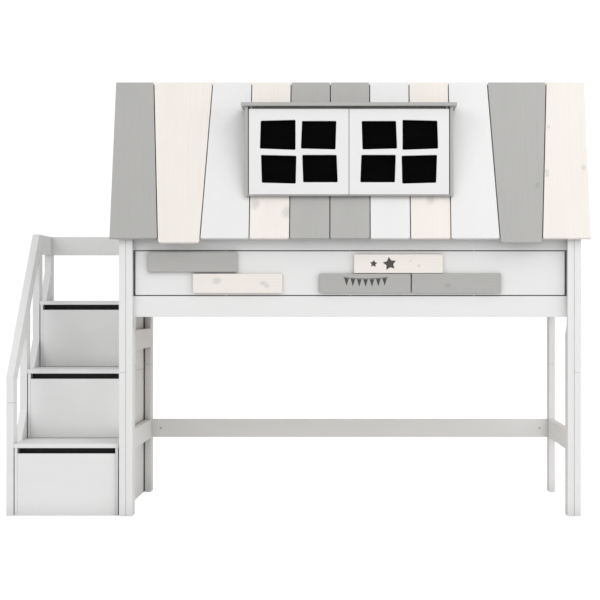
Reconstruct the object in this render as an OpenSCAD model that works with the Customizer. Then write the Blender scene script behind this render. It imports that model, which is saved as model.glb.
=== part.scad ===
// Children's mid-height loft bed with a play-hut front: a leaning plank roof with a
// two-leaf dormer window, a planked front panel, and a three-step drawer staircase.
// Lengths are in millimetres, +Z is up, and the front of the bed faces -Y.

/* [Bed frame] */
// Length of the bed over its two end frames
bed_l = 2070; // [1900:10:2270]
// Depth of the bed, front face to back face
bed_d = 1020; // [980:10:1220]
// Height of the corner posts
post_h = 1290; // [1270:5:1320]
// Depth of a corner post
post_w = 92; // [80:1:100]
// Thickness of one layer of a corner post
member_t = 30; // [26:1:34]
// Height of the joint between a leg extension and the post above it
leg_h = 647; // [600:1:700]
// Thickness of the long rails
rail_t = 26; // [22:1:28]
// Height of the top edge of the side rails
side_rail_top = 989; // [985:1:995]

/* [Front panel] */
// Height of the panel between the front rails
panel_h = 197; // [190:1:200]
// Thickness of the decorative planks
plank_t = 18; // [12:1:20]

/* [Roof] */
// Lean of the roof away from upright, in degrees
roof_tilt = 16.3; // [12:0.1:20]
// Length of a standard roof board, up the slope
board_l = 752; // [720:1:800]
// Thickness of the roof boards
board_t = 20; // [16:1:22]
// Gap between neighbouring roof boards
board_gap = 4.2; // [2:0.1:6]
// How far the two long boards hang below the others
long_board_drop = 20; // [0:1:40]

/* [Dormer window] */
// Height of the underside of the dormer window
window_z0 = 1437; // [1420:1:1450]
// Height of the underside of the window cap
window_z1 = 1839; // [1820:1:1850]
// Thickness of a window leaf
sash_t = 18; // [16:1:20]

/* [Staircase] */
// Width of the treads
tread_w = 471; // [400:1:560]
// Height of the lowest tread's top
first_rise = 325; // [310:1:330]
// Rise from one tread to the next
rise = 321; // [300:1:322]
// Distance from one nosing to the next
going = 306; // [290:1:310]
// Thickness of the treads
tread_t = 19; // [16:1:22]

/* [Hidden] */
$fn = 40;

// Finishes
white = "#ECECEA";
grey = "#B8B8B6";
whitewash = "#F7F1EC";
black = "#0C0C0C";
steel = "#B4B7BB";
spruce = "#E6D3B0";

// Bed frame: x runs out from the middle of the bed, y back from its front face
foot_h = 2;
x_out = bed_l / 2;
x_mid = x_out - member_t;
x_in = x_mid - member_t;
layer_gap = 0.9;
joint_gap = 0.8;
joint_step = 4;
rail_y0 = 34;
rail_y1 = rail_y0 + rail_t;
front_rail_y = [rail_y0, rail_y1];
rear_rail_y = [bed_d - rail_y1, bed_d - rail_y0];
end_rail_y = [post_w, bed_d - post_w];
side_rail_z = [side_rail_top - 94, side_rail_top];
guard_rail_z = [post_h - 95, post_h];
top_guard_z = [post_h - 92, post_h];
mid_guard_z = [1046, 1138];
low_rail_z = [276, 368];
left_mid_rail_z = [735, 828];
entry_post_y = [520, 612];
inner_cut_z = [817, 860];

// Slatted base
ledger_z = [905, 935];
ledger_x = x_in - 35;
ledger_d = 25;
slat_w = 70;
slat_t = 18;
slat_n = 14;

// Bolts through the end frames into the ends of the long rails, with barrel nuts
bolt_r = 3;
bolt_hole_r = 3.5;
bolt_head_r = 8;
bolt_head_t = 3;
counterbore_r = 9;
counterbore_d = 6;
nut_r = 5;
nut_inset = 45;
nut_len = 20;
bolt_reach = nut_inset + 7;
front_bolt_z = [mean(side_rail_z), mean(guard_rail_z)];
rear_bolt_z = [mean(low_rail_z), mean(side_rail_z), mean(mid_guard_z), mean(guard_rail_z)];
front_bolt_y = mean(front_rail_y);
rear_bolt_y = mean(rear_rail_y);

// Front panel between the two front rails
panel_x = x_in - 9;
panel_z0 = (side_rail_z[1] + guard_rail_z[0] - panel_h) / 2;
panel_z = [panel_z0, panel_z0 + panel_h];
backing_t = 6;
backing_lap = 20;
dowel_x = [-558, 0, 558];
dowel_r = 4;
dowel_hole_r = 4.05;
dowel_half = 20;
dowel_z = [(side_rail_z[1] + panel_z[0]) / 2, (panel_z[1] + guard_rail_z[0]) / 2];
// Each plank's left end, right end, bottom edge, top edge and finish
planks = [
    [-908, -507, 1097, 1186, grey],
    [-706, -304, 1002, 1089, whitewash],
    [-138, 272, 1003, 1089, grey],
    [18, 417, 1092, 1176, whitewash],
    [278, 678, 1002, 1090, grey]];

// Roof: its boards' edges, from the middle outwards, at the bottom and at the top
roof_y = -40;
roof_z = 1247;
edges_bottom = [90, 270, 450, 669, 858, 1072];
edges_top = [90, 270, 450, 629, 899, 1072];
roof_x = edges_bottom[5];
board_finish = [
    grey, whitewash, white, whitewash, grey, grey, white, whitewash, white, grey, whitewash];
long_boards = [1, 9];
window_boards = [2, 7];
board_corner_r = [2.5, 2.5, 4, 4];
long_corner_r = [9, 9, 5, 5];
tongue_n = [12, 17];
tongue_gap = 0.3;
tongue_inset = 7;
batten_t = 22;
batten_s = [100, board_l - 100];
batten_w = 60;
rafter_d = 60;
rafter_n0 = board_t + batten_t;
rafter_n1 = rafter_n0 + rafter_d;
rafter_top_s = board_l - 20;
rafter_foot_z = guard_rail_z[0] + 25;
mid_rafter_x = [480, 510];

// Dormer window, centred dormer_x from the middle of the bed
dormer_x = -4.5;
cheek_x = [452.5, 467];
window_cut_x = 454.5;
cap_x = 483;
cap_t = 16;
dormer_y = -6;
cap_y = -20;
sill_top = window_z0 + 4;
sash_y = [-4, sash_t - 4];
sash_z = [sill_top + 2, window_z1 - 12];
sash_x = [1.2, 448.5];
pane_t = 3;
pane_inset = 15;
pane_corner_r = 5;
// Corners of the four crooked lights: distance from the leaf's hinge edge and from its top
lights = [
    [[53, 53], [209, 49], [209, 184], [49, 178]],
    [[238, 54], [392, 54], [388, 182], [233, 178]],
    [[54, 206], [213, 210], [210, 335], [58, 331]],
    [[239, 206], [393, 206], [398, 329], [243, 329]]];
pivot_x = sash_x[1] - 10;
pivot_y = mean(sash_y);
pivot_r = 3;
pivot_hole_r = 3.05;
pivot_depth = 20;
pivot_plate_t = 2;
window_frame_y = [19, 31];
window_frame_x = cheek_x[0];
window_frame_w = 18;
mullion_w = 24;
frame_joint = 0.3;
window_cut_z = window_z0 + 2;

// Staircase: levels 0, 1 and 2 from the floor up, each with its tread and its drawer
levels = [0, 1, 2];
guard_t = 33;
stair_x1 = -x_out - 4;
stair_x0 = stair_x1 - tread_w;
stair_panel_t = 15;
panel_reveal = 1;
stair_in_x = [stair_x0 + stair_panel_t, stair_x1 - stair_panel_t];
guard_x = [stair_x0 - 1 - guard_t, stair_x0 - 1];
tread_lap = 3;
tread_nose = 2;
first_nosing_y = 20;
stair_back_y = 940;
stair_post_y = [
    [first_nosing_y, first_nosing_y + 80], [nosing(1), nosing(1) + 78],
    [nosing(2), nosing(2) + 78], [stair_back_y, bed_d]];
stair_joint_z = 509;
handrail_z0 = 630;
handrail_slope = (post_h - handrail_z0) / (2 * going);
handrail_h = 112;
stringer_slope = 1.049;
stringer_h = 116;
stringer_z0 = 461;
back_panel_t = 8;
grip_h = 25;
grip_rail_y = [60, 64];
grip_rail_lap = 20;
front_t = 18;
front_gap = 0.6;
box_wall = 12;
box_base = 6;
box_max_l = 560;
box_clear = 6;
runner_w = 22;
runner_h = 12;
stair_bolts = [[60, 150], [nosing(1) + 39, 420], [nosing(2) + 39, 800]];

// Middle of the whole object's outline, which becomes the origin
mid_x = (guard_x[0] + roof_x) / 2;
mid_y = (bed_d + roof_y - long_board_drop * sin(roof_tilt)) / 2;

function mean(range) = (range[0] + range[1]) / 2;
function nosing(level) = first_nosing_y + level * going;
function front_y(level) = nosing(level) + tread_nose;
function tread_top(level) = first_rise + level * rise;
function handrail_top(y) = handrail_z0 + (y - first_nosing_y) * handrail_slope;
function stringer_top(y) = stringer_z0 + (y - nosing(1)) * stringer_slope;
function drawer_z(level) = [
    level == 0 ? foot_h + 1 : tread_top(level - 1) + 1.5, tread_top(level) - tread_t - grip_h];
function box_z(level) = [drawer_z(level)[0] + 18, drawer_z(level)[1] - 45];
function box_l(level) = min(box_max_l, stair_back_y - back_panel_t - front_t - 14 - nosing(level));

// Point in the y-z plane that lies s up the roof's front face and n behind it
function roof_point(s, n) = [
    roof_y + s * sin(roof_tilt) + n * cos(roof_tilt),
    roof_z + s * cos(roof_tilt) - n * sin(roof_tilt)];
// Distance up the roof's slope at height z, n behind its front face, and its y there
function roof_s(z, n = 0) = (z - roof_z + n * sin(roof_tilt)) / cos(roof_tilt);
function roof_face_y(z) = roof_point(roof_s(z), 0)[0];

// Outline with rounded corners, where radii has one radius for each corner
function unit(v) = v / norm(v);
function corner_arc(before, at, after, r, steps = 6) =
    r == 0 ? [at] :
    let (a = unit(before - at), b = unit(after - at),
         half = acos(a * b) / 2,
         centre = at + unit(a + b) * r / sin(half),
         start = at + a * r / tan(half) - centre,
         turn = cross(at - before, after - at) > 0 ? 1 : -1,
         angle = atan2(start[1], start[0]))
    [for (i = [0:steps])
        centre + r * [cos(angle + turn * (180 - 2 * half) * i / steps),
                      sin(angle + turn * (180 - 2 * half) * i / steps)]];
function rounded(points, radii) =
    let (count = len(points))
    [for (i = [0:count - 1]) each corner_arc(
        points[(i + count - 1) % count], points[i], points[(i + 1) % count], radii[i])];

// Board with square edges between two limits along each axis
module bar(x, y, z) {
    translate([x[0], y[0], z[0]])
        cube([x[1] - x[0], y[1] - y[0], z[1] - z[0]]);
}

// Board cut to an outline in the y-z plane, between two limits along x
module profile(x, points) {
    translate([x[0], 0, 0])
        rotate([90, 0, 90])
            linear_extrude(x[1] - x[0]) polygon(points);
}

// Solid on the roof's slope: the outline is in x and s, from n0 to n1 behind the face
module on_roof(n0, n1) {
    translate([0, roof_y, roof_z])
        rotate([90 - roof_tilt, 0, 0])
            translate([0, 0, -n1])
                linear_extrude(n1 - n0) children();
}

module both_ends() {
    children();
    mirror([1, 0, 0]) children();
}

module placed() {
    translate([-mid_x, -mid_y, 0]) children();
}

module placed_dormer() {
    placed() translate([dormer_x, 0, 0]) children();
}

// Holes for the frame bolts at one y, one for each height
module bolt_holes(y, heights) {
    both_ends()
        for (z = heights) translate([x_out + 1, y, z]) rotate([0, -90, 0]) {
            cylinder(r = counterbore_r, h = counterbore_d + 1);
            cylinder(r = bolt_hole_r, h = member_t + bolt_reach + 4);
        }
}

// Pockets for the barrel nuts, opening on a rail's inside face
module nut_pockets(y_inside, side, heights) {
    both_ends()
        for (z = heights) translate([x_mid - nut_inset, y_inside + side, z])
            rotate([side * 90, 0, 0]) cylinder(r = nut_r + 0.1, h = nut_len + 1);
}

module front_nut_pockets(heights) {
    nut_pockets(front_rail_y[1], 1, heights);
}

module rear_nut_pockets(heights) {
    nut_pockets(rear_rail_y[0], -1, heights);
}

module long_rail(y, z) {
    bar([-x_mid, x_mid], y, z);
}

module end_rail(z) {
    bar([x_mid, x_out], end_rail_y, z);
}

// ---- Bed frame ----

// Leg extension whose top steps in, which leaves a fine shadow line under the post above
module leg_extension(y) {
    bar([x_mid, x_out], y, [foot_h, leg_h - joint_gap]);
    bar([x_mid + joint_step, x_out - joint_step], [y[0] + joint_step, y[1] - joint_step],
        [foot_h, leg_h]);
}

module leg_extensions() {
    color(white) placed() difference() {
        both_ends() {
            leg_extension([0, post_w]);
            leg_extension([bed_d - post_w, bed_d]);
        }
        bolt_holes(rear_bolt_y, [rear_bolt_z[0]]);
    }
}

module corner_posts() {
    color(white) placed() difference() {
        both_ends() {
            bar([x_mid, x_out], [0, post_w], [leg_h, post_h]);
            bar([x_mid, x_out], [bed_d - post_w, bed_d], [leg_h, post_h]);
        }
        bolt_holes(front_bolt_y, front_bolt_z);
        bolt_holes(rear_bolt_y, [rear_bolt_z[1], rear_bolt_z[2], rear_bolt_z[3]]);
    }
}

// Inner layer of the front corner posts, cut back above to let the rails run behind it
module inner_posts() {
    color(white) placed() both_ends()
        profile([x_in, x_mid - layer_gap], [
            [0, foot_h], [post_w, foot_h], [post_w, inner_cut_z[0]],
            [rail_y0, inner_cut_z[1]], [rail_y0, post_h], [0, post_h]]);
}

module side_rails() {
    color(white) placed() difference() {
        union() {
            long_rail(front_rail_y, side_rail_z);
            long_rail(rear_rail_y, side_rail_z);
        }
        bolt_holes(front_bolt_y, [front_bolt_z[0]]);
        bolt_holes(rear_bolt_y, [rear_bolt_z[1]]);
        front_nut_pockets([front_bolt_z[0]]);
        rear_nut_pockets([rear_bolt_z[1]]);
        dowels(dowel_hole_r, dowel_half + 1);
    }
}

module guard_rail_front() {
    color(white) placed() difference() {
        long_rail(front_rail_y, guard_rail_z);
        bolt_holes(front_bolt_y, [front_bolt_z[1]]);
        front_nut_pockets([front_bolt_z[1]]);
        dowels(dowel_hole_r, dowel_half + 1);
    }
}

module guard_rails_rear() {
    color(white) placed() difference() {
        union() {
            long_rail(rear_rail_y, mid_guard_z);
            long_rail(rear_rail_y, guard_rail_z);
        }
        bolt_holes(rear_bolt_y, [rear_bolt_z[2], rear_bolt_z[3]]);
        rear_nut_pockets([rear_bolt_z[2], rear_bolt_z[3]]);
    }
}

module stretcher_rear() {
    color(white) placed() difference() {
        long_rail(rear_rail_y, low_rail_z);
        bolt_holes(rear_bolt_y, [rear_bolt_z[0]]);
        rear_nut_pockets([rear_bolt_z[0]]);
    }
}

module end_rails() {
    color(white) placed() {
        both_ends() for (z = [low_rail_z, side_rail_z]) end_rail(z);
        mirror([1, 0, 0]) end_rail(left_mid_rail_z);
    }
}

// Guard rails above the mattress, short at the left end to leave the way in
module end_guards() {
    color(white) placed()
        for (z = [mid_guard_z, top_guard_z]) {
            bar([-x_out, -x_mid], [post_w, entry_post_y[0]], z);
            end_rail(z);
        }
}

module entry_post() {
    color(white) placed() bar([-x_out, -x_mid], entry_post_y, [side_rail_z[1], post_h]);
}

// ---- Front panel ----

// Upright dowels that hold the panel between the two rails
module dowels(r, half) {
    for (x = dowel_x, z = dowel_z)
        translate([x, mean(front_rail_y), z - half]) cylinder(r = r, h = 2 * half);
}

module front_panel() {
    color(white) placed() difference() {
        bar([-panel_x, panel_x], front_rail_y, panel_z);
        dowels(dowel_hole_r, dowel_half + 1);
    }
}

module panel_dowels() {
    color(white) placed() dowels(dowel_r, dowel_half);
}

// Thin board inside that closes the gaps round the front panel
module panel_backing() {
    color(white) placed()
        bar([-x_mid, x_mid], [rail_y1, rail_y1 + backing_t],
            [side_rail_z[1] - backing_lap, guard_rail_z[0] + backing_lap]);
}

module plank(i) {
    color(planks[i][4]) placed()
        bar([planks[i][0], planks[i][1]], [rail_y0 - plank_t, rail_y0],
            [planks[i][2], planks[i][3]]);
}

// ---- Slatted base ----

module slat_ledgers() {
    color(spruce) placed() {
        bar([-ledger_x, ledger_x], [front_rail_y[1], front_rail_y[1] + ledger_d], ledger_z);
        bar([-ledger_x, ledger_x], [rear_rail_y[0] - ledger_d, rear_rail_y[0]], ledger_z);
    }
}

module slats() {
    pitch = (2 * ledger_x - slat_w) / (slat_n - 1);
    color(spruce) placed()
        for (i = [0:slat_n - 1])
            bar([i * pitch - ledger_x, i * pitch - ledger_x + slat_w],
                [front_rail_y[1] + 2, rear_rail_y[0] - 2], [ledger_z[1], ledger_z[1] + slat_t]);
}

// ---- Fasteners and feet ----

// Flat-head bolt with a hexagon socket, lying along +X with its head at the origin
module bolt(reach) {
    difference() {
        rotate([0, 90, 0]) union() {
            cylinder(r = bolt_head_r, h = bolt_head_t);
            cylinder(r = bolt_r, h = reach);
        }
        translate([-1, 0, 0]) rotate([0, 90, 0]) cylinder(r = 2.4, h = 3, $fn = 6);
    }
}

module frame_bolts(y, heights) {
    both_ends()
        for (z = heights) translate([x_out - counterbore_d + bolt_head_t, y, z])
            mirror([1, 0, 0]) bolt(bolt_head_t + member_t - counterbore_d + bolt_reach);
}

module bolts() {
    color(steel) placed() {
        frame_bolts(front_bolt_y, front_bolt_z);
        frame_bolts(rear_bolt_y, rear_bolt_z);
        for (at = stair_bolts)
            translate([guard_x[0] + counterbore_d - bolt_head_t, at[0], at[1]])
                bolt(guard_t + stair_panel_t - 3);
    }
}

module nut_row(y_inside, side, heights) {
    both_ends()
        for (z = heights) translate([x_mid - nut_inset, y_inside, z]) difference() {
            rotate([side * 90, 0, 0]) cylinder(r = nut_r, h = nut_len);
            translate([-nut_r - 1, -side * rail_t / 2, 0])
                rotate([0, 90, 0]) cylinder(r = bolt_r + 0.2, h = 2 * nut_r + 2);
        }
}

module barrel_nuts() {
    color(steel) placed() {
        nut_row(front_rail_y[1], 1, front_bolt_z);
        nut_row(rear_rail_y[0], -1, rear_bolt_z);
    }
}

module floor_glides() {
    color(black) placed() {
        both_ends()
            for (at = [[mean([x_mid, x_out]), post_w / 2], [mean([x_in, x_mid]), post_w / 2],
                       [mean([x_mid, x_out]), bed_d - post_w / 2]])
                translate([at[0], at[1], 0]) cylinder(r = 12, h = foot_h);
        for (y = stair_post_y)
            translate([mean(guard_x), mean(y), 0]) cylinder(r = 12, h = foot_h);
        translate([stair_x1 - guard_t / 2, mean(stair_post_y[3]), 0])
            cylinder(r = 12, h = foot_h);
        for (x = [mean([stair_x0 + tread_lap, stair_in_x[0]]),
                  mean([stair_in_x[1], stair_x1 - tread_lap])], y = [200, 800])
            translate([x, y, 0]) cylinder(r = 5, h = foot_h);
    }
}

// ---- Roof ----

// Edge number i of the roof boards, counted from the left, out of 12, at s up the slope
function half_edge(i, s) =
    edges_bottom[i] + (edges_top[i] - edges_bottom[i]) * s / board_l;
function edge(i, s) = i < 6 ? -half_edge(5 - i, s) : half_edge(i - 6, s);

// Outline of board i between two places up the slope, trimmed at its sides
module board_shape(i, s, trim_right, radii) {
    trim_left = i == 0 ? 0 : board_gap / 2;
    polygon(rounded(
        [[edge(i, s[0]) + trim_left, s[0]], [edge(i + 1, s[0]) - trim_right, s[0]],
         [edge(i + 1, s[1]) - trim_right, s[1]], [edge(i, s[1]) + trim_left, s[1]]], radii));
}

module board_outline(i) {
    is_long = len(search(i, long_boards)) > 0;
    board_shape(i, [is_long ? -long_board_drop : 0, board_l], i == 10 ? 0 : board_gap / 2,
                is_long ? long_corner_r : board_corner_r);
}

// Outline of a tongue, which reaches almost to the next board
module tongue_outline(i) {
    board_shape(i, [tongue_inset, board_l - tongue_inset],
                i == 10 ? board_gap : tongue_gap - board_gap / 2, [0, 0, 0, 0]);
}

module window_cutout() {
    translate([dormer_x - window_cut_x, roof_s(window_cut_z)])
        square([2 * window_cut_x, roof_s(window_z1) - roof_s(window_cut_z)]);
}

// Roof layer from n[0] to n[1] behind the face, cut away at the window if the board meets it
module roof_layer(i, n) {
    on_roof(n[0], n[1])
        if (i >= window_boards[0] && i <= window_boards[1])
            difference() {
                children();
                window_cutout();
            }
        else
            children();
}

// Board with a tongue along its right-hand edge, which closes the gap to the next board
module roof_board(i) {
    color(board_finish[i]) placed() union() {
        roof_layer(i, [0, board_t]) board_outline(i);
        roof_layer(i, tongue_n) tongue_outline(i);
    }
}

module roof_battens() {
    color(white) placed()
        for (s = batten_s) on_roof(board_t, board_t + batten_t)
            translate([-x_out, s - batten_w / 2]) square([2 * x_out, batten_w]);
}

module rafter(x) {
    profile(x, [
        [rail_y1, rafter_foot_z], [post_w, rafter_foot_z],
        roof_point((post_w - roof_y - rafter_n1 * cos(roof_tilt)) / sin(roof_tilt), rafter_n1),
        roof_point(rafter_top_s, rafter_n1),
        roof_point(rafter_top_s, rafter_n0),
        roof_point(roof_s(post_h, rafter_n0), rafter_n0),
        [rail_y1, post_h]]);
}

module roof_rafters() {
    color(white) placed() both_ends() {
        rafter([x_in, x_mid]);
        rafter(mid_rafter_x);
    }
}

// ---- Dormer window ----

// Board that runs from the dormer's front to the sloping face of the roof
module to_roof(x, y, z) {
    profile(x, [[y, z[0]], [roof_face_y(z[0]), z[0]], [roof_face_y(z[1]), z[1]], [y, z[1]]]);
}

module dormer_cheeks() {
    color(grey) placed_dormer() both_ends() to_roof(cheek_x, dormer_y, [window_z0, window_z1]);
}

module dormer_cap() {
    color(grey) placed_dormer() to_roof([-cap_x, cap_x], cap_y, [window_z1, window_z1 + cap_t]);
}

// Sill that laps over the cut tops of the boards below the window
module dormer_sill() {
    back = roof_point(roof_s(window_cut_z), board_t);
    color(grey) placed_dormer() profile([-window_frame_x, window_frame_x], [
        [dormer_y, window_z0], [roof_face_y(window_z0), window_z0],
        [roof_face_y(window_cut_z), window_cut_z], back, [back[0], sill_top],
        [dormer_y, sill_top]]);
}

// Fixed frame and mullion that the two leaves close against
module window_frame() {
    inner_x = window_frame_x - window_frame_w;
    inner_z = [sill_top + window_frame_w, window_z1 - window_frame_w - 4];
    rail_x = [mullion_w / 2 + frame_joint, inner_x - frame_joint];
    color(grey) placed_dormer() {
        both_ends() {
            bar([inner_x, window_frame_x], window_frame_y, [sill_top, window_z1]);
            bar(rail_x, window_frame_y, [sill_top, inner_z[0]]);
            bar(rail_x, window_frame_y, [inner_z[1], window_z1]);
        }
        bar([-mullion_w / 2, mullion_w / 2], window_frame_y, [sill_top, window_z1]);
    }
}

// Plates on the sill and under the cap, each with the pin that its leaf turns on
module window_pivots() {
    plate_y = [pivot_y - 7, pivot_y + 7];
    plate_x = [-cheek_x[0] + 2, -pivot_x + 14];
    color(steel) placed_dormer() both_ends() {
        union() {
            bar(plate_x, plate_y, [sill_top, sill_top + pivot_plate_t]);
            translate([-pivot_x, pivot_y, sill_top])
                cylinder(r = pivot_r, h = pivot_plate_t + pivot_depth);
        }
        union() {
            bar(plate_x, plate_y, [window_z1 - pivot_plate_t, window_z1]);
            translate([-pivot_x, pivot_y, sash_z[1] - pivot_depth])
                cylinder(r = pivot_r, h = window_z1 - sash_z[1] + pivot_depth);
        }
    }
}

// Left-hand window leaf: a frame with four crooked lights and a pivot hole at each end
module leaf() {
    difference() {
        bar([-sash_x[1], -sash_x[0]], sash_y, sash_z);
        for (light = lights)
            translate([-sash_x[1], sash_y[1] + 1, sash_z[1]])
                rotate([90, 0, 0])
                    linear_extrude(sash_t + 2)
                        polygon(rounded([for (p = light) [p[0], -p[1]]],
                                        [for (p = light) pane_corner_r]));
        for (z = [sash_z[0] - 1, sash_z[1] - pivot_depth - 1])
            translate([-pivot_x, pivot_y, z])
                cylinder(r = pivot_hole_r, h = pivot_depth + 2);
    }
}

module leaf_pane() {
    bar([-sash_x[1] + pane_inset, -sash_x[0] - pane_inset],
        [sash_y[1], sash_y[1] + pane_t],
        [sash_z[0] + pane_inset, sash_z[1] - pane_inset]);
}

module sash_left() {
    color(white) placed_dormer() leaf();
}

module sash_right() {
    color(white) placed_dormer() mirror([1, 0, 0]) leaf();
}

module pane_left() {
    color(black) placed_dormer() leaf_pane();
}

module pane_right() {
    color(black) placed_dormer() mirror([1, 0, 0]) leaf_pane();
}

// ---- Staircase ----

module stair_posts() {
    first = stair_post_y[0];
    second = stair_post_y[1];
    color(white) placed() {
        difference() {
            union() {
                bar(guard_x, first, [foot_h, stair_joint_z - joint_gap]);
                profile(guard_x, [
                    [second[0], foot_h], [second[1], foot_h],
                    [second[1], handrail_top(second[1]) - handrail_h],
                    [second[0], handrail_top(second[0]) - handrail_h]]);
                bar(guard_x, stair_post_y[2], [foot_h, top_guard_z[0]]);
            }
            for (at = stair_bolts)
                translate([guard_x[0] - 1, at[0], at[1]]) rotate([0, 90, 0]) {
                    cylinder(r = counterbore_r, h = counterbore_d + 1);
                    cylinder(r = bolt_hole_r, h = guard_t + 2);
                }
        }
        profile(guard_x, [
            [first[0], stair_joint_z], [first[1], stair_joint_z],
            [first[1], handrail_top(first[1])], [first[0], handrail_top(first[0])]]);
        bar(guard_x, stair_post_y[3], [foot_h, post_h]);
        bar([stair_x1 - guard_t, stair_x1], stair_post_y[3], [foot_h, tread_top(2) - tread_t]);
    }
}

module handrail() {
    y0 = stair_post_y[0][1];
    y1 = stair_post_y[2][0];
    color(white) placed() profile(guard_x, [
        [y0, handrail_top(y0) - handrail_h], [y1, handrail_top(y1) - handrail_h],
        [y1, handrail_top(y1)], [y0, handrail_top(y0)]]);
}

// Sloping board under the handrail, in three lengths between the guard posts
module stair_stringer() {
    color(white) placed()
        for (i = levels) {
            y0 = stair_post_y[i][1];
            y1 = stair_post_y[i + 1][0];
            profile(guard_x, [
                [y0, stringer_top(y0) - stringer_h], [y1, stringer_top(y1) - stringer_h],
                [y1, stringer_top(y1)], [y0, stringer_top(y0)]]);
        }
}

module platform_rails() {
    color(white) placed() {
        bar(guard_x, [stair_post_y[2][0], stair_post_y[3][0]], top_guard_z);
        bar([guard_x[1], -x_out], rear_rail_y, top_guard_z);
    }
}

// Each lower tread runs back, narrower, between the side panels to carry the next level
module stair_treads() {
    color(white) placed()
        for (level = levels) {
            z = [tread_top(level) - tread_t, tread_top(level)];
            if (level == 2)
                bar([stair_x0, stair_x1], [nosing(level), bed_d], z);
            else
                union() {
                    bar([stair_x0, stair_x1], [nosing(level), nosing(level + 1)], z);
                    bar(stair_in_x, [nosing(level + 1), stair_back_y - back_panel_t], z);
                }
        }
}

module stair_side_panels() {
    color(white) placed() difference() {
        for (level = levels, x = [[stair_x0 + tread_lap, stair_in_x[0]],
                                  [stair_in_x[1], stair_x1 - tread_lap]])
            bar(x, [nosing(level) + tread_nose, stair_back_y],
                [level == 0 ? foot_h : tread_top(level - 1) - tread_t + panel_reveal,
                 tread_top(level) - tread_t]);
        for (at = stair_bolts)
            translate([stair_x0 - 1, at[0], at[1]])
                rotate([0, 90, 0]) cylinder(r = bolt_hole_r, h = stair_panel_t);
    }
}

module stair_back_panel() {
    color(white) placed()
        bar(stair_in_x, [stair_back_y - back_panel_t, stair_back_y],
            [foot_h, tread_top(2) - tread_t]);
}

// Dark rail under the front of each tread, behind the finger gap over the drawer
module grip_rails() {
    color(black) placed()
        for (level = levels)
            bar(stair_in_x, [nosing(level) + grip_rail_y[0], nosing(level) + grip_rail_y[1]],
                [drawer_z(level)[1] - grip_rail_lap, tread_top(level) - tread_t]);
}

module drawer_runners() {
    color(spruce) placed()
        for (level = levels, x = [[stair_in_x[0], stair_in_x[0] + runner_w],
                                  [stair_in_x[1] - runner_w, stair_in_x[1]]])
            bar(x, [front_y(level) + front_t + 4, front_y(level) + front_t + box_l(level)],
                [box_z(level)[0] - 0.4 - runner_h, box_z(level)[0] - 0.4]);
}

module drawer_front(level) {
    color(white) placed()
        bar([stair_in_x[0] + front_gap, stair_in_x[1] - front_gap],
            [front_y(level), front_y(level) + front_t], drawer_z(level));
}

// Drawer box behind the front: a base, two sides and a back
module drawer_box(level) {
    x = [stair_in_x[0] + box_clear, stair_in_x[1] - box_clear];
    y0 = front_y(level) + front_t;
    y = [y0, y0 + box_l(level)];
    z = box_z(level);
    color(spruce) placed() {
        bar([x[0] + box_wall, x[1] - box_wall], [y[0], y[1] - box_wall],
            [z[0] + 6, z[0] + 6 + box_base]);
        bar([x[0], x[0] + box_wall], y, z);
        bar([x[1] - box_wall, x[1]], y, z);
        bar([x[0] + box_wall, x[1] - box_wall], [y[1] - box_wall, y[1]], z);
    }
}

leg_extensions();
corner_posts();
inner_posts();
side_rails();
guard_rail_front();
guard_rails_rear();
stretcher_rear();
end_rails();
end_guards();
entry_post();
front_panel();
panel_dowels();
panel_backing();
plank(0);  // plank_1
plank(1);  // plank_2
plank(2);  // plank_3
plank(3);  // plank_4
plank(4);  // plank_5
slat_ledgers();
slats();
bolts();
barrel_nuts();
floor_glides();
roof_board(0);  // roof_board_01
roof_board(1);  // roof_board_02
roof_board(2);  // roof_board_03
roof_board(3);  // roof_board_04
roof_board(4);  // roof_board_05
roof_board(5);  // roof_board_06
roof_board(6);  // roof_board_07
roof_board(7);  // roof_board_08
roof_board(8);  // roof_board_09
roof_board(9);  // roof_board_10
roof_board(10);  // roof_board_11
roof_battens();
roof_rafters();
dormer_cheeks();
dormer_cap();
dormer_sill();
window_frame();
window_pivots();
sash_left();
sash_right();
pane_left();
pane_right();
stair_posts();
handrail();
stair_stringer();
platform_rails();
stair_treads();
stair_side_panels();
stair_back_panel();
grip_rails();
drawer_runners();
drawer_front(0);  // drawer_front_1
drawer_front(1);  // drawer_front_2
drawer_front(2);  // drawer_front_3
drawer_box(0);  // drawer_box_1
drawer_box(1);  // drawer_box_2
drawer_box(2);  // drawer_box_3
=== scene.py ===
"""Looks of the loft bed: wood finishes, rounded edges, screws, printed motifs, light and camera."""

import math
from collections import namedtuple

import bmesh
import bpy
from mathutils import Matrix, Vector


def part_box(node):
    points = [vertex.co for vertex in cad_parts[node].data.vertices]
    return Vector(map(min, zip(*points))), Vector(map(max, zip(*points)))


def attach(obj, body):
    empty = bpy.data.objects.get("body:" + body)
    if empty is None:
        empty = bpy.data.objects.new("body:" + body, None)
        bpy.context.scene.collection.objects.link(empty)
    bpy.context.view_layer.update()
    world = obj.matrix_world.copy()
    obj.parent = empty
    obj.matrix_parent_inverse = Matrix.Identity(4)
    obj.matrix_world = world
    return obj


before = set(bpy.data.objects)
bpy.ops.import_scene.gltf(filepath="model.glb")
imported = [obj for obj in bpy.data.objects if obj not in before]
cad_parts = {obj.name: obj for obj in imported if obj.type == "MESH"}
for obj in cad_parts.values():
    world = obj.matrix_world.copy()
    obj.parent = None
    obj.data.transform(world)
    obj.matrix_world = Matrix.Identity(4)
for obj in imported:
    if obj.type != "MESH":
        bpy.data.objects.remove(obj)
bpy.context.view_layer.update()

X, Y, Z = Vector((1, 0, 0)), Vector((0, 1, 0)), Vector((0, 0, 1))
MM = 0.001
FRONT = -Y


def centre_of(node):
    lo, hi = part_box(node)
    return (lo + hi) / 2


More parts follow.
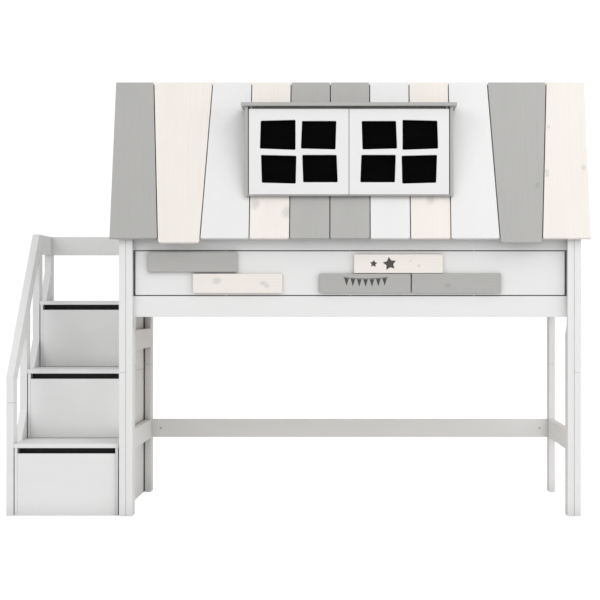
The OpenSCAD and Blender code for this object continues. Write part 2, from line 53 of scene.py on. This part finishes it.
def slope_of(node):
    """Direction of a leaning board's length, and its face's normal, both square to X."""
    faces = [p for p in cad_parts[node].data.polygons if abs(p.normal.x) < 0.1]
    normal = max(faces, key=lambda p: p.area).normal.copy()
    if normal.y > 0:
        normal.negate()
    length = normal.cross(X).normalized()
    return (length if length.z > 0 else -length), normal


# ---- Materials ----

class Graph:
    """A material's node tree, with short calls for the nodes that the looks share."""

    def __init__(self, name):
        self.material = bpy.data.materials.new(name)
        self.material.use_nodes = True
        self.tree = self.material.node_tree
        self.tree.nodes.clear()

    def node(self, kind, inputs=(), **settings):
        made = self.tree.nodes.new("ShaderNode" + kind)
        for key, value in settings.items():
            setattr(made, key, value)
        for key, value in dict(inputs).items():
            if isinstance(value, bpy.types.NodeSocket):
                self.tree.links.new(value, made.inputs[key])
            else:
                made.inputs[key].default_value = value
        return made

    def math(self, operation, a, b=0.0, clamp=False):
        return self.node("Math", {0: a, 1: b}, operation=operation, use_clamp=clamp).outputs[0]

    def vector(self, operation, a, b=(0, 0, 0)):
        made = self.node("VectorMath", {0: a, 1: b}, operation=operation)
        return made.outputs["Value" if operation in ("DOT_PRODUCT", "LENGTH") else "Vector"]

    def combine(self, x, y, z):
        return self.node("CombineXYZ", {0: x, 1: y, 2: z}).outputs[0]

    def noise(self, at, scale, detail=3.0, distortion=0.0):
        return self.node("TexNoise", {"Vector": at, "Scale": scale, "Detail": detail,
                                      "Distortion": distortion}).outputs["Fac"]

    def ramp(self, value, start, end, to_start=0.0, to_end=1.0):
        return self.node("MapRange", {0: value, 1: start, 2: end, 3: to_start, 4: to_end},
                         interpolation_type="SMOOTHSTEP").outputs[0]

    def mix(self, factor, a, b, blend="MIX"):
        return self.node("Mix", {0: factor, 6: a, 7: b},
                         data_type="RGBA", blend_type=blend).outputs[2]

    def wear_and_crease_mask(self, width):
        """1 along the object's convex and concave edges, and 0 on its flats."""
        rounded = self.node("Bevel", {"Radius": width}, samples=4).outputs["Normal"]
        flat = self.node("NewGeometry").outputs["Normal"]
        return self.ramp(self.vector("DOT_PRODUCT", rounded, flat), 0.99, 0.8)

    def shade_openness(self, reach):
        """1 out in the open, down to 0 deep in gaps and corners, where shade is painted into the
        wood.
        """
        return self.node("AmbientOcclusion", {"Distance": reach}, samples=4).outputs["AO"]

    def bump(self, height, depth):
        return self.node("Bump", {"Height": height, "Distance": depth, "Strength": 1.0}).outputs[0]

    def finish(self, **shader):
        out = self.node("OutputMaterial")
        inputs = {key.replace("_", " "): value for key, value in shader.items()}
        made = self.node("BsdfPrincipled", inputs)
        self.tree.links.new(made.outputs[0], out.inputs[0])
        return self.material


def rgba(colour):
    return (*colour, 1.0)


# Colours are linear. rings and fibres say how far each takes the grain from pale to dark, tone how
# much boards differ, edge how dark the edges get (rubbed wear on convex edges, painted shade in
# concave creases), and rough is the roughness from low to high.
WoodFinish = namedtuple("WoodFinish", "pale dark knot rings fibres tone edge coat rough relief")
WHITE = WoodFinish(pale=(0.868, 0.870, 0.868), dark=(0.835, 0.835, 0.826),
                   knot=(0.78, 0.775, 0.76), rings=0.08, fibres=0.20, tone=0.015, edge=0.25,
                   coat=0.08, rough=(0.46, 0.56), relief=0.025 * MM)
GREY = WoodFinish(pale=(0.485, 0.482, 0.470), dark=(0.445, 0.44, 0.425),
                  knot=(0.40, 0.395, 0.38), rings=0.25, fibres=0.5, tone=0.03, edge=0.3,
                  coat=0.08, rough=(0.48, 0.62), relief=0.06 * MM)
WASHED = WoodFinish(pale=(0.945, 0.895, 0.850), dark=(0.90, 0.835, 0.775),
                    knot=(0.70, 0.69, 0.65), rings=0.35, fibres=0.4, tone=0.03, edge=0.2,
                    coat=0.03, rough=(0.55, 0.7), relief=0.08 * MM)
SPRUCE = WoodFinish(pale=(0.80, 0.66, 0.46), dark=(0.64, 0.44, 0.25),
                    knot=(0.30, 0.14, 0.06), rings=0.75, fibres=0.35, tone=0.08, edge=0.2,
                    coat=0.0, rough=(0.6, 0.78), relief=0.10 * MM)

RING_WIDTH = 5 * MM
PITH = (0.03, 0.055)     # how far the log's centre lies from a board's, across it and behind it
CORNER_REACH = 0.16      # how far the painted shade in corners and gaps reaches
CORNER_SHADE = 0.55      # brightness of the wood deep in a gap, where the painted shade is darkest


def wood(name, look, centre, grain, normal, knots=()):
    """Boards sawn beside the pith. A knot is its place along and across the grain, and a radius."""
    g = Graph(name)
    across = normal.cross(grain)
    luck = g.node("NewGeometry").outputs["Random Per Island"]
    place = g.vector("SUBTRACT", g.node("TexCoord").outputs["Object"], centre)
    u, v, w = [g.vector("DOT_PRODUCT", place, axis) for axis in (grain, across, normal)]
    shifted = g.math("MULTIPLY", luck, 11.0)
    drift = g.noise(g.combine(g.math("MULTIPLY", u, 1.3), g.math("MULTIPLY", v, 3.0), shifted), 1.0)
    swirl, knot_mask = 0.0, 0.0
    for along, sideways, radius in knots:
        away = g.vector("LENGTH", g.combine(
            g.math("DIVIDE", g.math("SUBTRACT", u, along), radius * 1.35),
            g.math("DIVIDE", g.math("SUBTRACT", v, sideways), radius), 0.0))
        uneven = g.math("ADD", away, g.math("MULTIPLY", g.noise(place, 55.0, 4.0), 0.7))
        knot_mask = g.math("MAXIMUM", knot_mask, g.ramp(uneven, 1.6, 0.7))
        swirl = g.math("ADD", swirl, g.ramp(away, 3.2, 0.4, 0.0, radius * 1.2))
    pith_v = g.math("ADD", g.math("ADD", v, g.math("MULTIPLY", drift, 0.06)), PITH[0])
    pith_w = g.math("ADD", w, PITH[1])
    radius = g.math("SUBTRACT", g.vector("LENGTH", g.combine(pith_v, pith_w, 0.0)), swirl)
    phase = g.math("ADD", g.math("DIVIDE", radius, RING_WIDTH), g.math("MULTIPLY", luck, 7.0))
    rings = g.math("POWER", g.math("PINGPONG", phase, 1.0), 2.2)
    fibres = g.noise(g.combine(g.math("MULTIPLY", u, 7.0), g.math("MULTIPLY", v, 420.0),
                               g.math("ADD", g.math("MULTIPLY", w, 420.0), shifted)), 1.0, 4.0)
    mottle = g.noise(
        g.combine(g.math("MULTIPLY", u, 3.0), g.math("MULTIPLY", v, 11.0), shifted), 1.0)
    grain_mask = g.math("ADD", g.math("MULTIPLY", rings, look.rings),
                        g.math("MULTIPLY", g.ramp(fibres, 0.3, 0.7), look.fibres), clamp=True)
    colour = g.mix(grain_mask, rgba(look.pale), rgba(look.dark))
    if knots:
        inside = g.math("MULTIPLY", knot_mask,
                        g.ramp(g.noise(place, 140.0), 0.25, 0.75, 0.65, 1.0))
        colour = g.mix(inside, colour, rgba(look.knot))
    shade = g.math("ADD", g.ramp(mottle, 0.25, 0.75, 1 - look.tone, 1.0),
                   g.math("MULTIPLY", g.math("SUBTRACT", luck, 0.5), look.tone))
    colour = g.mix(1.0, colour, g.combine(shade, shade, shade), "MULTIPLY")
    # Darker along the edges: rubbed wear on the convex edges, and painted shade in the concave
    # creases.
    edges = g.math("MULTIPLY", g.wear_and_crease_mask(3 * MM), look.edge)
    colour = g.mix(edges, colour, rgba(look.dark))
    # Painted shade: the wood's colour darkens in corners, gaps and under overhangs, out to
    # CORNER_REACH.
    painted_shade = g.ramp(g.shade_openness(CORNER_REACH), 0.0, 0.75, CORNER_SHADE, 1.0)
    colour = g.mix(1.0, colour, g.combine(painted_shade, painted_shade, painted_shade), "MULTIPLY")
    height = g.math("ADD", g.math("MULTIPLY", rings, 0.4), fibres)
    return g.finish(
        Base_Color=colour,
        Roughness=g.ramp(g.math("ADD", fibres, g.math("MULTIPLY", edges, 0.5)), 0.3, 0.8,
                         *look.rough),
        Normal=g.bump(height, look.relief),
        Coat_Weight=look.coat, Coat_Roughness=0.35, IOR=1.45)


def plastic(name, pale, dark, rough):
    """Moulded plastic with a fine spark-eroded texture."""
    g = Graph(name)
    place = g.node("TexCoord").outputs["Object"]
    cloud = g.noise(place, 35.0, 4.0)
    texture = g.noise(place, 1800.0, 2.0)
    worn = g.wear_and_crease_mask(1 * MM)
    colour = g.mix(g.ramp(cloud, 0.3, 0.7), rgba(pale), rgba(dark))
    return g.finish(Base_Color=g.mix(g.math("MULTIPLY", worn, 0.4), colour, rgba(pale)),
                    Roughness=g.ramp(texture, 0.3, 0.7, *rough),
                    Normal=g.bump(texture, 0.04 * MM), IOR=1.5)


def steel(name):
    """Zinc-plated steel: fine brushing, cloudy plating and brighter worn edges."""
    g = Graph(name)
    place = g.node("TexCoord").outputs["Object"]
    brushed = g.noise(g.vector("MULTIPLY", place, (900.0, 900.0, 60.0)), 1.0, 3.0)
    cloud = g.noise(place, 160.0, 3.0)
    worn = g.wear_and_crease_mask(0.6 * MM)
    colour = g.mix(g.ramp(cloud, 0.3, 0.7), rgba((0.56, 0.57, 0.60)), rgba((0.44, 0.46, 0.50)))
    return g.finish(Base_Color=g.mix(worn, colour, rgba((0.70, 0.70, 0.71))), Metallic=1.0,
                    Roughness=g.ramp(brushed, 0.3, 0.7, 0.26, 0.42),
                    Normal=g.bump(brushed, 0.01 * MM))


def painted_board(name, pale, dark, rough, grain_scale):
    """Matt paint rolled on a board, with a faint orange-peel texture."""
    g = Graph(name)
    place = g.node("TexCoord").outputs["Object"]
    peel = g.noise(place, 520.0, 2.0)
    streaks = g.noise(g.vector("MULTIPLY", place, grain_scale), 1.0, 4.0)
    colour = g.mix(g.ramp(streaks, 0.3, 0.7), rgba(pale), rgba(dark))
    worn = g.math("MULTIPLY", g.wear_and_crease_mask(2 * MM), 0.5)
    return g.finish(Base_Color=g.mix(worn, colour, rgba(pale)),
                    Roughness=g.ramp(peel, 0.3, 0.7, *rough),
                    Normal=g.bump(peel, 0.03 * MM), IOR=1.4, Specular_IOR_Level=0.03)


# ---- Frame nodes: rounded edges and materials ----

def outer_layers(piece, normal):
    """Group of the vertices on a board's two faces, which leaves out its tongue between them."""
    depths = [v.co.dot(normal) for v in piece.data.vertices]
    faces = (min(depths), max(depths))
    group = piece.vertex_groups.new(name="faces")
    on_faces = [i for i, d in enumerate(depths) if min(abs(d - f) for f in faces) < 0.1 * MM]
    group.add(on_faces, 1.0, "ADD")
    return group.name


def soften(node, radius, segments=3, weld=0.05 * MM, between=None):
    """Rounds a CAD node's edges with modifiers, which leave its own mesh as it is."""
    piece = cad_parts[node]
    mesh = piece.data
    if "custom_normal" in mesh.attributes:
        mesh.attributes.remove(mesh.attributes["custom_normal"])
    for polygon in mesh.polygons:
        polygon.use_smooth = True
    piece.modifiers.new("weld", "WELD").merge_threshold = weld
    flatten = piece.modifiers.new("flatten", "DECIMATE")
    flatten.decimate_type = "DISSOLVE"
    flatten.angle_limit = math.radians(2)
    bevel = piece.modifiers.new("round", "BEVEL")
    bevel.width = radius
    bevel.segments = segments
    bevel.limit_method = "ANGLE"
    bevel.angle_limit = math.radians(40)
    if between is not None:
        bevel.limit_method = "VGROUP"
        bevel.vertex_group = outer_layers(piece, between)
    bevel.use_clamp_overlap = False
    bevel.harden_normals = False
    shade = piece.modifiers.new("shade", "WEIGHTED_NORMAL")
    shade.keep_sharp = False
    shade.weight = 80


def cover(node, material):
    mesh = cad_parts[node].data
    mesh.materials.clear()
    mesh.materials.append(material)


def wooden(node, look, grain, normal, radius, knots=(), has_tongue=False):
    soften(node, radius, between=normal if has_tongue else None)
    cover(node, wood(node + "_wood", look, centre_of(node), grain, normal, knots))


# Radii of the rounded edges: boards, solid timber, slim window parts, and sheets of board
BOARD_ROUND = 2 * MM
ROUND = 1.5 * MM
SLIM_ROUND = 1 * MM
SHEET_ROUND = 0.6 * MM
SHEETS = ("panel_backing", "drawer_front_1", "drawer_front_2", "drawer_front_3", "stair_treads")
for node in ("leg_extensions", "corner_posts", "inner_posts", "stair_posts", "entry_post"):
    wooden(node, WHITE, Z, FRONT, ROUND)
for node in ("side_rails", "guard_rail_front", "guard_rails_rear", "stretcher_rear", "front_panel",
             "panel_backing", "roof_battens", "stair_treads", "drawer_front_1", "drawer_front_2",
             "drawer_front_3", "platform_rails"):
    wooden(node, WHITE, X, FRONT, SHEET_ROUND if node in SHEETS else ROUND)
for node in ("end_rails", "end_guards"):
    wooden(node, WHITE, Y, X, ROUND)
for node in ("roof_rafters", "handrail", "stair_stringer"):
    length, face = slope_of(node)
    wooden(node, WHITE, length, X, ROUND)
for node in ("stair_side_panels", "stair_back_panel"):
    wooden(node, WHITE, Z, X, SHEET_ROUND)
for node in ("sash_left", "sash_right"):
    wooden(node, WHITE, Z, FRONT, SLIM_ROUND)
for node in ("slats", "slat_ledgers", "drawer_runners"):
    wooden(node, SPRUCE, X if node == "slat_ledgers" else Y, Z, ROUND)
for k in (1, 2, 3):
    wooden(f"drawer_box_{k}", SPRUCE, Y, Z, SLIM_ROUND)
for node in ("dormer_cap", "dormer_sill", "window_frame"):
    wooden(node, GREY, X, FRONT, SLIM_ROUND if node == "dormer_sill" else BOARD_ROUND)
wooden("dormer_cheeks", GREY, Z, X, ROUND)

# Roof boards: finish, and knots as places up the slope and across it from the board's centre
ROOF = [
    (GREY, []),
    (WASHED, []),
    (WHITE, []),
    (WASHED, [(-0.214, 0.066, 0.022), (-0.254, -0.073, 0.024)]),
    (GREY, []),
    (GREY, []),
    (WHITE, []),
    (WASHED, [(-0.19, 0.0, 0.020)]),
    (WHITE, []),
    (GREY, [(-0.116, -0.078, 0.012)]),
    (WASHED, [(-0.041, -0.087, 0.012), (-0.060, 0.078, 0.010), (-0.078, 0.077, 0.009),
              (0.156, 0.064, 0.008)]),
]
for i, (look, knots) in enumerate(ROOF):
    node = f"roof_board_{i + 1:02d}"
    length, face = slope_of(node)
    wooden(node, look, length, face, BOARD_ROUND, knots, has_tongue=True)

# Decorative planks from left to right: finish, and knots along and across from the plank's centre
PLANKS = [
    (GREY, []),
    (WASHED, [(-0.095, 0.012, 0.017), (0.115, 0.0, 0.013), (0.130, -0.010, 0.010)]),
    (GREY, []),
    (WASHED, [(0.055, 0.012, 0.005), (0.092, -0.010, 0.007)]),
    (GREY, [(-0.04, -0.01, 0.013)]),
]
for i, (look, knots) in enumerate(PLANKS):
    wooden(f"plank_{i + 1}", look, X, FRONT, BOARD_ROUND, knots)

BLACK_PAINT = painted_board("black_paint", (0.0022, 0.0022, 0.0022), (0.0014, 0.0014, 0.0014),
                            (0.6, 0.75), (9.0, 60.0, 60.0))
for node in ("pane_left", "pane_right"):
    soften(node, 0.5 * MM)
    cover(node, BLACK_PAINT)
# The grip rails are near-black as painted shade: their colour stands in for the shade deep in the
# drawers' finger-grip recesses.
soften("grip_rails", 0.5 * MM)
cover("grip_rails",
      plastic("painted_shade_grip_plastic", (0.026, 0.026, 0.026), (0.020, 0.020, 0.020), (0.45, 0.6)))
soften("floor_glides", 0.6 * MM)
cover("floor_glides",
      plastic("glide_plastic", (0.035, 0.035, 0.036), (0.022, 0.022, 0.023), (0.4, 0.6)))
soften("panel_dowels", 0.5 * MM)
cover("panel_dowels",
      plastic("dowel_plastic", (0.80, 0.80, 0.79), (0.76, 0.76, 0.75), (0.4, 0.55)))
STEEL = steel("zinc_plate")
for node in ("bolts", "barrel_nuts", "window_pivots"):
    soften(node, 0.35 * MM, segments=2, weld=0.02 * MM)
    cover(node, STEEL)


# ---- New pieces, and screws ----

def link_mesh(name, bm, material):
    """Turns a finished bmesh into an object in the scene."""
    mesh = bpy.data.meshes.new(name)
    bm.to_mesh(mesh)
    bm.free()
    mesh.materials.append(material)
    piece = bpy.data.objects.new(name, mesh)
    bpy.context.scene.collection.objects.link(piece)
    return piece


def new_piece(name, mesh_builder, material):
    """One mesh object, its shape filled in by mesh_builder(bmesh), riding on the fixed body."""
    bm = bmesh.new()
    mesh_builder(bm)
    bmesh.ops.recalc_face_normals(bm, faces=bm.faces)
    piece = link_mesh(name, bm, material)
    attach(piece, "root")


def cross_radius(angle, arm, half_width):
    """Radius of a cross-shaped outline at an angle."""
    c, s = max(abs(math.cos(angle)), 1e-6), max(abs(math.sin(angle)), 1e-6)
    return max(min(arm / c, half_width / s), min(arm / s, half_width / c))


def add_screw(bm, at, outwards, radius):
    """Domed countersunk head with a cross recess, its rim just under the surface at `at`."""
    turn = outwards.to_track_quat("Z", "Y").to_matrix().to_4x4()
    spot = Matrix.Translation(at) @ turn
    around = 32
    # Each ring's radius at an angle, and its height, from the rim to the recess's floor
    rings = [(lambda a: radius * 0.9, -0.35),
             (lambda a: radius, -0.05),
             (lambda a: radius * 0.97, 0.04),
             (lambda a: radius * 0.75, 0.12),
             (lambda a: cross_radius(a, 0.52 * radius, 0.13 * radius), 0.16),
             (lambda a: cross_radius(a, 0.40 * radius, 0.09 * radius), -0.30)]
    angles = [2 * math.pi * (i + 0.5) / around for i in range(around)]
    loops = []
    for shape, rise in rings:
        loops.append([bm.verts.new(spot @ Vector((shape(a) * math.cos(a), shape(a) * math.sin(a),
                                                  rise * radius))) for a in angles])
    for low, high in zip(loops, loops[1:]):
        for i in range(around):
            j = (i + 1) % around
            bm.faces.new((low[i], low[j], high[j], high[i]))
    bm.faces.new(loops[0][::-1])
    bm.faces.new(loops[-1])


def screws(name, places, outwards, radius):
    def build(bm):
        for at in places:
            add_screw(bm, at, outwards, radius)
    new_piece(name, build, STEEL)


def islands(node):
    """Boxes of the separate solids in a CAD node."""
    bm = bmesh.new()
    bm.from_mesh(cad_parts[node].data)
    bmesh.ops.remove_doubles(bm, verts=bm.verts, dist=0.05 * MM)
    found, seen = [], set()
    for start in bm.verts:
        if start.index in seen:
            continue
        group, todo = [], [start]
        seen.add(start.index)
        while todo:
            vert = todo.pop()
            group.append(vert.co.copy())
            for edge in vert.link_edges:
                other = edge.other_vert(vert)
                if other.index not in seen:
                    seen.add(other.index)
                    todo.append(other)
        found.append(tuple(Vector(pick(p[k] for p in group) for k in range(3))
                           for pick in (min, max)))
    bm.free()
    return found


# One screw through each end of each slat, into the middle of the ledger below
slat_boxes = islands("slats")
ledger_lo, ledger_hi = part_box("slat_ledgers")
LEDGER_HALF = 14 * MM
screws("slat_screws",
       [Vector(((lo.x + hi.x) / 2, y, hi.z)) for lo, hi in slat_boxes
        for y in (ledger_lo.y + LEDGER_HALF, ledger_hi.y - LEDGER_HALF)], Z, 3.6 * MM)

# Two screws through each batten into each roof board, from behind
slope_up, roof_face = slope_of("roof_board_03")
back = -roof_face
BATTEN_SCREW_OFFSET = 45 * MM


def batten_screw_places():
    """Points on the backs of the two battens, on both sides of each board's middle line."""
    places = []
    verts = [v.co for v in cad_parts["roof_battens"].data.vertices]
    rear = max(v.dot(back) for v in verts)
    levels = sorted({round(v.dot(slope_up), 4) for v in verts if v.dot(back) > rear - 0.1 * MM})
    foot, head = (levels[0] + levels[1]) / 2, (levels[-2] + levels[-1]) / 2
    for level in (foot, head):
        for lo, hi in (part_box(f"roof_board_{n + 1:02d}") for n in range(len(ROOF))):
            for side in (-1, 1):
                x = (lo.x + hi.x) / 2 + side * BATTEN_SCREW_OFFSET
                places.append(Vector((x, 0, 0)) + slope_up * level + back * rear)
    return places


screws("batten_screws", batten_screw_places(), back, 3.8 * MM)

# Two rows of screws through the board behind the front panel, and two up the staircase's back
PANEL_SCREW_RADIUS = 3.0 * MM
BACKING_COLUMNS = 8
BACKING_SCREW_INSET = 10 * MM
backing_lo, backing_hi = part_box("panel_backing")
backing_screw_x = [backing_lo.x + (backing_hi.x - backing_lo.x) * (i + 0.5) / BACKING_COLUMNS
                   for i in range(BACKING_COLUMNS)]
screws("backing_screws",
       [Vector((x, backing_hi.y, z)) for x in backing_screw_x
        for z in (backing_lo.z + BACKING_SCREW_INSET, backing_hi.z - BACKING_SCREW_INSET)],
       Y, PANEL_SCREW_RADIUS)

BACK_SCREW_INSET = 12 * MM
BACK_SCREW_HEIGHTS = (0.04, 0.35, 0.66, 0.96)
stair_back_lo, stair_back_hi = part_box("stair_back_panel")
screws("back_panel_screws",
       [Vector((x, stair_back_hi.y, stair_back_lo.z + (stair_back_hi.z - stair_back_lo.z) * t))
        for x in (stair_back_lo.x + BACK_SCREW_INSET, stair_back_hi.x - BACK_SCREW_INSET)
        for t in BACK_SCREW_HEIGHTS], Y, PANEL_SCREW_RADIUS)


# ---- Printed motifs: stars on one plank and a row of pennants on another ----

INK_T = 0.4 * MM


def ink():
    g = Graph("charcoal_ink")
    place = g.node("TexCoord").outputs["Object"]
    fibres = g.noise(g.vector("MULTIPLY", place, (60.0, 300.0, 700.0)), 1.0, 4.0)
    blotch = g.noise(place, 220.0, 3.0)
    worn = g.math("MULTIPLY", g.ramp(fibres, 0.62, 0.78), 0.5)
    dark = g.mix(g.ramp(blotch, 0.3, 0.7), rgba((0.060, 0.060, 0.058)), rgba((0.085, 0.084, 0.080)))
    return g.finish(Base_Color=g.mix(worn, dark, rgba((0.22, 0.215, 0.20))),
                    Roughness=g.ramp(blotch, 0.3, 0.7, 0.6, 0.8), Normal=g.bump(fibres, 0.03 * MM))


INK = ink()


def add_print(bm, outline, at):
    """A flat shape of ink on a plank's face; the outline is in x and z around `at`."""
    front = [bm.verts.new(at + Vector((x, -INK_T, z))) for x, z in outline]
    rear = [bm.verts.new(at + Vector((x, 0, z))) for x, z in outline]
    bm.faces.new(front)
    bm.faces.new(rear[::-1])
    for i in range(len(outline)):
        j = (i + 1) % len(outline)
        bm.faces.new((front[i], rear[i], rear[j], front[j]))


STAR_WAIST = 0.52


def star(radius, turn):
    """Outline of a five-pointed star, its inner corners at STAR_WAIST of the radius."""
    reaches = [radius * (1 if i % 2 == 0 else STAR_WAIST) for i in range(10)]
    return [(reach * math.sin(math.pi * i / 5 + turn), reach * math.cos(math.pi * i / 5 + turn))
            for i, reach in enumerate(reaches)]


# Each star's distance from the plank's left end, its radius and its turn in radians
STARS = [(88 * MM, 17 * MM, 0.1), (160 * MM, 31 * MM, -0.15)]
plank_4_lo, plank_4_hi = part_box("plank_4")


def build_stars(bm):
    middle = (plank_4_lo.z + plank_4_hi.z) / 2
    for from_left, radius, turn in STARS:
        at = Vector((plank_4_lo.x + from_left, plank_4_lo.y, middle))
        add_print(bm, star(radius, turn), at)


new_piece("printed_stars", build_stars, INK)

plank_3_lo, plank_3_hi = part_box("plank_3")
PENNANTS = 7
PENNANT_GAP = 0.14            # at each side of a pennant, as a share of its place on the line
PENNANT_LENGTH = 36 * MM
ROW_WIDTH = 200 * MM
ROW_SAG = 7 * MM
LINE_HALF = 1.2 * MM


def build_pennants(bm):
    """A printed line with pennants hanging from it, on a shallow curve."""
    left = plank_3_lo.x + 108 * MM
    top = plank_3_lo.z + 70 * MM
    on_face = Vector((0, plank_3_lo.y, 0))

    def on_row(t, below):
        """Point at the share t along the row, that far below the line's middle."""
        return left + ROW_WIDTH * t, top - ROW_SAG * 4 * t * (1 - t) - below

    steps = [i / 24 for i in range(25)]
    upper = [on_row(t, -LINE_HALF) for t in steps]
    lower = [on_row(t, LINE_HALF) for t in reversed(steps)]
    add_print(bm, upper + lower, on_face)
    for i in range(PENNANTS):
        t0, t1 = (i + PENNANT_GAP) / PENNANTS, (i + 1 - PENNANT_GAP) / PENNANTS
        add_print(bm, [on_row(t0, 2 * LINE_HALF), on_row(t1, 2 * LINE_HALF),
                       on_row((t0 + t1) / 2, PENNANT_LENGTH)], on_face)


new_piece("printed_pennants", build_pennants, INK)


# ---- Studio: floor, light and camera ----

posts_lo, posts_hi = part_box("corner_posts")
bed_middle = Vector(((posts_lo.x + posts_hi.x) / 2, posts_lo.y, 0))
FLOOR_REACH = 40.0
FLOOR_GLOW = 0.65        # the floor's own light as the camera sees it, so that it ends up white
FLOOR_BOUNCE = 0.11      # and as everything sees it


def floor():
    """A pale matt floor that fades into the white background."""
    g = Graph("studio_floor")
    cloud = g.noise(g.node("TexCoord").outputs["Object"], 0.8, 2.0)
    seen = g.math("MULTIPLY", g.node("LightPath").outputs["Is Camera Ray"], FLOOR_GLOW)
    glow = g.math("ADD", seen, FLOOR_BOUNCE)
    colour = g.mix(cloud, rgba((0.80, 0.80, 0.80)), rgba((0.78, 0.78, 0.78)))
    material = g.finish(Base_Color=colour, Roughness=g.ramp(cloud, 0.3, 0.7, 0.85, 0.95),
                        Specular_IOR_Level=0.0, Emission_Color=rgba((1, 1, 1)),
                        Emission_Strength=glow)
    bm = bmesh.new()
    bmesh.ops.create_grid(bm, x_segments=1, y_segments=1, size=FLOOR_REACH)
    link_mesh("studio_floor", bm, material)


lit_point = bed_middle + Vector((0, 0.2, 1.2))


def softbox(name, from_bed, width, height, power):
    """A rectangular lamp at a place from the bed's middle, aimed at the roof's foot."""
    at = bed_middle + Vector(from_bed)
    lamp = bpy.data.lights.new(name, "AREA")
    lamp.shape = "RECTANGLE"
    lamp.size = width
    lamp.size_y = height
    lamp.energy = power
    lit = bpy.data.objects.new(name, lamp)
    lit.location = at
    lit.rotation_euler = (lit_point - at).to_track_quat("-Z", "Y").to_euler()
    bpy.context.scene.collection.objects.link(lit)


SKY_SEEN = 1.05          # the sky's strength as the camera sees it
SKY_LIGHT = 0.545        # and as it lights the bed


def sky():
    """Even white light all round, brighter where the camera sees it directly."""
    world = bpy.data.worlds.new("studio_world")
    world.use_nodes = True
    tree = world.node_tree
    tree.nodes.clear()
    seen, glow = (tree.nodes.new("ShaderNodeBackground") for _ in range(2))
    seen.inputs["Strength"].default_value = SKY_SEEN
    glow.inputs["Strength"].default_value = SKY_LIGHT
    for node in (seen, glow):
        node.inputs["Color"].default_value = (1, 1, 1, 1)
    path = tree.nodes.new("ShaderNodeLightPath")
    mix = tree.nodes.new("ShaderNodeMixShader")
    out = tree.nodes.new("ShaderNodeOutputWorld")
    tree.links.new(path.outputs["Is Camera Ray"], mix.inputs[0])
    tree.links.new(glow.outputs[0], mix.inputs[1])
    tree.links.new(seen.outputs[0], mix.inputs[2])
    tree.links.new(mix.outputs[0], out.inputs[0])
    bpy.context.scene.world = world


floor()
sky()
softbox("key", (4.0, -5.6, 6.6), 4.5, 4.0, 165)
softbox("fill", (-5.5, -6.4, 4.6), 4.5, 4.0, 118)
softbox("top", (0.5, -2.0, 7.5), 5.0, 4.0, 45)
softbox("side", (7.5, -4.5, 2.2), 4.0, 3.0, 95)

VIEW_DISTANCE = 7.3
EYE_HEIGHT = 0.971
SENSOR_WIDTH = 36
FOCAL_LENGTH = 97.8
SIDE_SHIFT = -1 / 12     # the camera faces the bed's middle, which is right of the picture's
camera = bpy.data.objects.new("camera", bpy.data.cameras.new("camera"))
camera.data.sensor_width = SENSOR_WIDTH
camera.data.lens = FOCAL_LENGTH
camera.data.shift_x = SIDE_SHIFT
camera.data.clip_end = 200
camera.location = bed_middle + Vector((0, -VIEW_DISTANCE, EYE_HEIGHT))
camera.rotation_euler = (math.pi / 2, 0, 0)
bpy.context.scene.collection.objects.link(camera)
bpy.context.scene.camera = camera
bpy.context.scene.view_settings.view_transform = "Standard"
